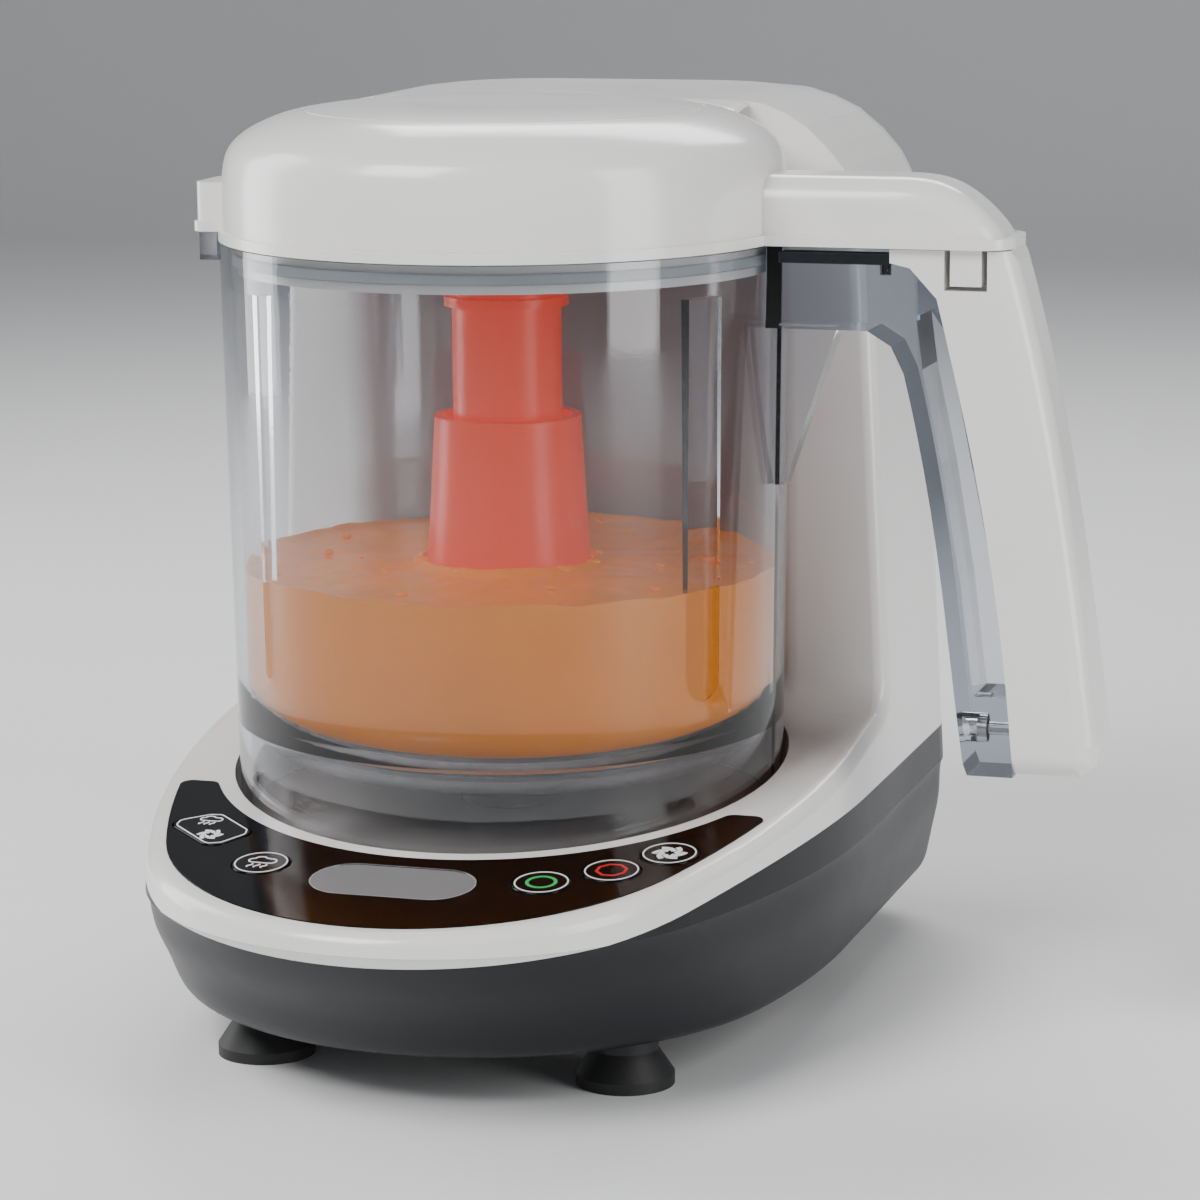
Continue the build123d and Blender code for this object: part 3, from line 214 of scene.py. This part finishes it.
def new_object(name, verts, faces, material):
    """A mesh object from vertices and faces, in the part's frame."""
    mesh = bpy.data.meshes.new(name)
    mesh.from_pydata([tuple(v) for v in verts], [], faces)
    mesh.validate()
    mesh.update()
    obj = bpy.data.objects.new(name, mesh)
    bpy.context.scene.collection.objects.link(obj)
    obj.data.materials.append(material)
    return obj


def lathe(name, profile, material, steps=160, ripple=None):
    """A closed ring swept from a radius and height profile about the jug's axis."""
    verts = []
    faces = []
    count = len(profile)
    for i in range(steps):
        angle = 2 * math.pi * i / steps
        for radius, height in profile:
            x = AXIS_X + radius * math.cos(angle)
            y = AXIS_Y + radius * math.sin(angle)
            lift = ripple(x, y, radius, height) if ripple else 0.0
            verts.append((x, y, height + lift))
    for i in range(steps):
        after = (i + 1) % steps
        for j in range(count):
            k = (j + 1) % count
            faces.append((i * count + j, after * count + j, after * count + k, i * count + k))
    return new_object(name, verts, faces, material)


# ---- CAD pieces -----------------------------------------------------------------------------


def finish_cad_nodes():
    """Give every CAD piece its material and smooth shading."""
    for entry in frame["record"]["subparts"]:
        obj = nodes[entry["node"]]
        obj.data.materials.clear()
        obj.data.materials.append(MATERIALS[entry["material_slot"]])
        smooth_by_angle(obj)


# ---- lid ------------------------------------------------------------------------------------

HOOD_Y = AXIS_Y + 41.0 * MM
BLEND_ROWS = 8
BLEND_LIFT = 0.06 * MM
BLEND_SINK = 1.2 * MM


def top_height(tree, x, y):
    """The height of a surface under a point high above it."""
    place = tree.ray_cast(Vector((x, y, 0.4)), Vector((0, 0, -1)))[0]
    return place.z if place else 0.0


def blend_column(tree, x):
    """One line of points from the hood's front edge down to the dome."""
    back = HOOD_Y + 0.9 * MM
    top = top_height(tree, x, back)
    rise = max(top - top_height(tree, x, HOOD_Y - 0.3 * MM), 0.0)
    reach = 2.5 * MM + min(rise * 2.4, 12 * MM)
    foot = top_height(tree, x, back - reach)
    column = []
    for row in range(BLEND_ROWS + 1):
        part = row / BLEND_ROWS
        ease = part * part * (3 - 2 * part)
        y = back - reach * part
        curve = top + (foot - top) * ease
        column.append(Vector((x, y, max(curve, top_height(tree, x, y)) + BLEND_LIFT)))
    column[0].z = top - BLEND_SINK / 4
    column[-1].z = foot - BLEND_SINK / 4
    return column


def rim_face(a, b, under, flip):
    """A face that joins an edge of a sheet to the same edge of the sheet below it."""
    side = (a, b, under + b, under + a)
    return tuple(reversed(side)) if flip else side


def add_lid_blend():
    """A smooth fillet from the lid's dome up to the front edge of its rear hood."""
    mesh = nodes["lid_cover"].data
    tree = BVHTree.FromPolygons([v.co for v in mesh.vertices], [p.vertices for p in mesh.polygons])
    columns = [blend_column(tree, AXIS_X + step * MM) for step in range(-46, 47)]
    count = BLEND_ROWS + 1
    verts = [v for column in columns for v in column]
    verts += [v - Vector((0, 0, BLEND_SINK)) for v in verts]
    under = len(columns) * count
    faces = []
    for i in range(len(columns) - 1):
        for k in range(BLEND_ROWS):
            a = i * count + k
            b = a + count
            faces.append((a, a + 1, b + 1, b))
            faces.append((under + a, under + b, under + b + 1, under + a + 1))
        first = i * count
        last = first + BLEND_ROWS
        faces.append(rim_face(first, first + count, under, False))
        faces.append(rim_face(last, last + count, under, True))
    for i, flip in ((0, True), (len(columns) - 1, False)):
        for k in range(BLEND_ROWS):
            a = i * count + k
            faces.append(rim_face(a, a + 1, under, flip))
    blend = new_object("lid_blend", verts, faces, MATERIALS["white_shell"])
    smooth_by_angle(blend, 40)
    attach(blend, "lid")


# ---- puree ----------------------------------------------------------------------------------


def puree_ripple(x, y, radius, height):
    """How far the puree's surface rises or falls at a place."""
    if height < PUREE_TOP - 1 * MM:
        return 0.0
    wave = noise.noise(Vector((x * 60, y * 60, 3.0))) * 0.9
    wave += noise.noise(Vector((x * 190, y * 190, 7.0))) * 0.35
    return wave * MM


def add_puree():
    """The puree that fills the jug's lower part around the hub."""
    bottom = FLOOR_Z + 0.3 * MM
    inner = HUB_R + HUB_GAP
    corner = JUG_INSIDE_R - 16.5 * MM
    profile = [(inner, bottom), (corner, bottom)]
    for step in range(1, 9):
        angle = math.radians(90 * step / 9)
        radius = corner + JUG_CORNER_R * math.sin(angle)
        profile.append((radius, bottom + JUG_CORNER_R * (1 - math.cos(angle))))
    profile.append((JUG_INSIDE_R, 84 * MM))
    profile.append((JUG_INSIDE_R + 0.2 * MM, 100 * MM))
    profile.append((JUG_INSIDE_R + 0.25 * MM, PUREE_TOP + 0.9 * MM))
    for part in range(1, 20):
        radius = JUG_INSIDE_R - (JUG_INSIDE_R - inner) * part / 20
        edge = 0.9 * MM * math.exp(-(JUG_INSIDE_R - radius) / (1.5 * MM))
        profile.append((radius, PUREE_TOP + edge))
    profile.append((HUB_R + 0.6 * MM, PUREE_TOP + 1.2 * MM))
    puree = lathe("puree", profile, puree_material(), 220, puree_ripple)
    smooth_by_angle(puree, 60)
    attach(puree, "jug")
    return puree


def add_bits():
    """Small lumps of puree on its surface and clinging round the hub's foot."""
    wet = bpy.data.materials["puree"]
    spots = []
    for i in range(16):
        angle = 2.4 * i + 0.3 * math.sin(5.0 * i)
        radius = HUB_R + (0.4 + 0.9 * abs(math.sin(3.1 * i))) * MM
        spots.append((angle, radius, (1.0 + 0.6 * math.sin(1.7 * i)) * MM))
    for i in range(22):
        angle = 1.9 * i
        radius = HUB_R + (4 + 33 * abs(math.sin(2.3 * i + 0.4))) * MM
        spots.append((angle, radius, (0.6 + 0.35 * math.sin(2.9 * i)) * MM))
    cloud = bmesh.new()
    for angle, radius, size in spots:
        x = AXIS_X + radius * math.cos(angle)
        y = AXIS_Y + radius * math.sin(angle)
        place = Matrix.Translation((x, y, PUREE_TOP + 0.5 * MM))
        flat = Matrix.Diagonal((1.5, 1.2, 0.8, 1.0))
        bmesh.ops.create_icosphere(cloud, subdivisions=2, radius=size, matrix=place @ flat)
    mesh = bpy.data.meshes.new("puree_bits")
    cloud.to_mesh(mesh)
    cloud.free()
    bits = bpy.data.objects.new("puree_bits", mesh)
    bpy.context.scene.collection.objects.link(bits)
    mesh.materials.append(wet)
    for face in mesh.polygons:
        face.use_smooth = True
    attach(bits, "jug")


# ---- panel symbols --------------------------------------------------------------------------

PRINT_HIGH = 0.10 * MM
PRINT_DEEP = 0.06 * MM


def print_material(name, color):
    """Printed ink."""
    return surface(name, color, 0.4, grain=0.1)


INK = {
    "white": print_material("ink_white", (0.85, 0.86, 0.86)),
    "green": print_material("ink_green", (0.02, 0.45, 0.10)),
    "red": print_material("ink_red", (0.55, 0.02, 0.02)),
    "grey": print_material("ink_grey", (0.33, 0.35, 0.36)),
}


def key_top(node):
    """The middle of a key's top face."""
    low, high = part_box(node)
    middle = (low + high) / 2
    corners = [v.co for v in nodes[node].data.vertices]
    rise = max(corner.dot(DECK_UP) for corner in corners)
    foot = Vector((middle.x, middle.y, 0.0))
    return foot + Vector((0, 0, 1)) * ((rise - foot.dot(DECK_UP)) / DECK_UP.z)


def stroke(work, middle, points, width, closed=False):
    """Add one raised line to a mesh, through points given in millimetres on the key."""
    count = len(points)
    rings = []
    for i, (x, y) in enumerate(points):
        before = points[(i - 1) % count] if closed or i else points[i]
        after = points[(i + 1) % count] if closed or i < count - 1 else points[i]
        along = Vector((after[0] - before[0], after[1] - before[1]))
        along.normalize()
        side = Vector((-along.y, along.x)) * (width / 2)
        corners = []
        for sign, lift in ((1, -PRINT_DEEP), (1, PRINT_HIGH), (-1, PRINT_HIGH), (-1, -PRINT_DEEP)):
            px = (x + side.x * sign) * MM
            py = (y + side.y * sign) * MM
            spot = middle + DECK_RIGHT * px + DECK_BACK * py + DECK_UP * lift
            corners.append(work.verts.new(spot))
        rings.append(corners)
    last = count if closed else count - 1
    for i in range(last):
        here = rings[i]
        there = rings[(i + 1) % count]
        for k in range(4):
            m = (k + 1) % 4
            work.faces.new((here[k], there[k], there[m], here[m]))
    if not closed:
        work.faces.new(rings[0])
        work.faces.new(list(reversed(rings[-1])))


def arc(cx, cy, radius, start, end, steps=24):
    """Points along an arc, angles in degrees."""
    points = []
    for i in range(steps + 1):
        angle = math.radians(start + (end - start) * i / steps)
        points.append((cx + radius * math.cos(angle), cy + radius * math.sin(angle)))
    return points


def ring(radius, sides=48):
    """Points round a circle or a regular polygon."""
    start = 180.0 / sides
    return [
        (
            radius * math.cos(math.radians(start + 360.0 * i / sides)),
            radius * math.sin(math.radians(start + 360.0 * i / sides)),
        )
        for i in range(sides)
    ]


def cloud_lines(cx, cy, size):
    """A cloud with three wisps of steam under it."""
    outline = arc(cx - 1.5 * size, cy, 0.8 * size, 270, 90, 10)
    outline += arc(cx - 0.5 * size, cy + 0.7 * size, 1.0 * size, 160, 30, 12)
    outline += arc(cx + 1.4 * size, cy + 0.1 * size, 0.95 * size, 100, -90, 12)
    lines = [(outline, True)]
    for shift in (-1.2, 0.0, 1.2):
        wisp = []
        for i in range(9):
            t = i / 8
            wave = 0.25 * math.sin(2 * math.pi * t)
            wisp.append((cx + (shift + wave - 0.4 * t) * size, cy - (1.4 + 1.5 * t) * size))
        lines.append((wisp, False))
    return lines


def swirl_lines(cx, cy, size):
    """Six curved strokes turning about a point."""
    lines = []
    for i in range(6):
        start = 60 * i
        points = []
        for step in range(9):
            t = step / 8
            angle = math.radians(start + 75 * t)
            radius = (0.75 + 1.35 * t) * size
            points.append((cx + radius * math.cos(angle), cy + radius * math.sin(angle)))
        lines.append((points, False))
    return lines


def symbol(name, node, ink, lines, width, body=None):
    """One printed symbol on a key, moving with it."""
    work = bmesh.new()
    middle = key_top(node)
    for points, closed in lines:
        stroke(work, middle, points, width, closed)
    mesh = bpy.data.meshes.new(name)
    work.to_mesh(mesh)
    work.free()
    obj = bpy.data.objects.new(name, mesh)
    bpy.context.scene.collection.objects.link(obj)
    mesh.materials.append(INK[ink])
    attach(obj, body or node + "_body")


def combi_border():
    """A line just inside the edge of the combined key's own outline."""
    middle = key_top("steam_blend_button")
    spots = set()
    for vertex in nodes["steam_blend_button"].data.vertices:
        gap = vertex.co - middle
        if abs(gap.dot(DECK_UP)) < 0.02 * MM:
            x = gap.dot(DECK_RIGHT) / MM
            y = gap.dot(DECK_BACK) / MM
            spots.add((round(x, 3), round(y, 3)))
    order = sorted(spots, key=lambda p: math.atan2(p[1], p[0]))
    outline = [p for i, p in enumerate(order) if i == 0 or math.dist(p, order[i - 1]) > 0.25]
    return [(x * 0.95, y * 0.95) for x, y in outline]


def add_symbols():
    """The symbols of the five keys and the frame round the display."""
    for node in ("steam_button", "start_button", "stop_button", "blend_button"):
        symbol(node + "_ring", node, "white", [(ring(5.75), True)], 0.32)
    symbol("start_symbol", "start_button", "green", [(ring(3.1), True)], 0.75)
    symbol("stop_symbol", "stop_button", "red", [(ring(3.3, 8), True)], 0.75)
    symbol("blend_symbol", "blend_button", "white", swirl_lines(0, 0, 1.65), 1.15)
    symbol("steam_symbol", "steam_button", "white", cloud_lines(0, 0.9, 1.35), 0.4)
    symbol("combi_ring", "steam_blend_button", "white", [(combi_border(), True)], 0.32)
    symbol("combi_cloud", "steam_blend_button", "white", cloud_lines(-2.0, 5.2, 1.1), 0.38)
    symbol("combi_swirl", "steam_blend_button", "white", swirl_lines(1.2, -3.6, 1.3), 0.85)
    low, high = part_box("display_window")
    half = (high.x - low.x) / 2 / MM
    radius = (high.y - low.y) / 2 / MM * 1.01
    frame_line = arc(half - radius, 0, radius + 0.1, -90, 90)
    frame_line += arc(-half + radius, 0, radius + 0.1, 90, 270)
    symbol("display_frame", "display_window", "grey", [(frame_line, True)], 0.3, body="base")


# ---- stage ----------------------------------------------------------------------------------


def add_floor():
    """A pale floor that curves up into a backdrop."""
    verts = []
    faces = []
    path = [(-3.0, 0.0)]
    for step in range(13):
        angle = math.radians(90 * step / 12)
        path.append((1.6 + 0.8 * math.sin(angle), 0.8 - 0.8 * math.cos(angle)))
    path.append((2.4, 3.5))
    for y, z in path:
        verts.append((-4.0, y, z))
        verts.append((4.0, y, z))
    for i in range(len(path) - 1):
        faces.append((2 * i, 2 * i + 1, 2 * i + 3, 2 * i + 2))
    pale = surface("backdrop", (0.86, 0.86, 0.86), 0.6, mottle=0.0)
    floor = new_object("studio_floor", verts, faces, pale)
    for face in floor.data.polygons:
        face.use_smooth = True


def add_light(name, place, aim, size, power, color=(1.0, 1.0, 1.0)):
    """A soft rectangular light aimed at a point."""
    data = bpy.data.lights.new(name, "AREA")
    data.shape = "RECTANGLE"
    data.size = size[0]
    data.size_y = size[1]
    data.energy = power
    data.color = color
    lamp = bpy.data.objects.new(name, data)
    lamp.location = place
    direction = Vector(aim) - Vector(place)
    lamp.rotation_euler = direction.to_track_quat("-Z", "Y").to_euler()
    bpy.context.scene.collection.objects.link(lamp)


def add_lights():
    """Soft boxes in front above, right, left and behind, with an even surround."""
    centre = (0.0, 0.0, 0.11)
    add_light("key_box", (-0.45, -0.75, 0.95), centre, (0.6, 0.6), 14)
    add_light("right_box", (0.91, -0.36, 0.30), centre, (0.40, 1.2), 9)
    add_light("left_box", (-0.95, 0.10, 0.32), centre, (0.4, 1.1), 7)
    add_light("back_box", (-0.1, 0.85, 0.9), centre, (0.8, 0.4), 7)
    world = bpy.data.worlds.new("studio")
    world.use_nodes = True
    world.node_tree.nodes["Background"].inputs["Color"].default_value = (0.9, 0.93, 1.0, 1.0)
    world.node_tree.nodes["Background"].inputs["Strength"].default_value = 0.22
    bpy.context.scene.world = world


def add_camera():
    """The camera at the photograph's viewing angle."""
    data = bpy.data.cameras.new("camera")
    data.sensor_width = 36.0
    data.lens = 126.0
    camera = bpy.data.objects.new("camera", data)
    bpy.context.scene.collection.objects.link(camera)
    heading = Matrix.Rotation(math.radians(17.257), 4, "Z")
    tilt = Matrix.Rotation(math.radians(90 - 10.825), 4, "X")
    roll = Matrix.Rotation(math.radians(-0.495), 4, "Z")
    place = Matrix.Translation((0.2735, -0.9119, 0.2792))
    camera.matrix_world = place @ heading @ tilt @ roll
    bpy.context.scene.camera = camera


finish_cad_nodes()
add_lid_blend()
add_puree()
add_bits()
add_symbols()
add_floor()
add_lights()
add_camera()
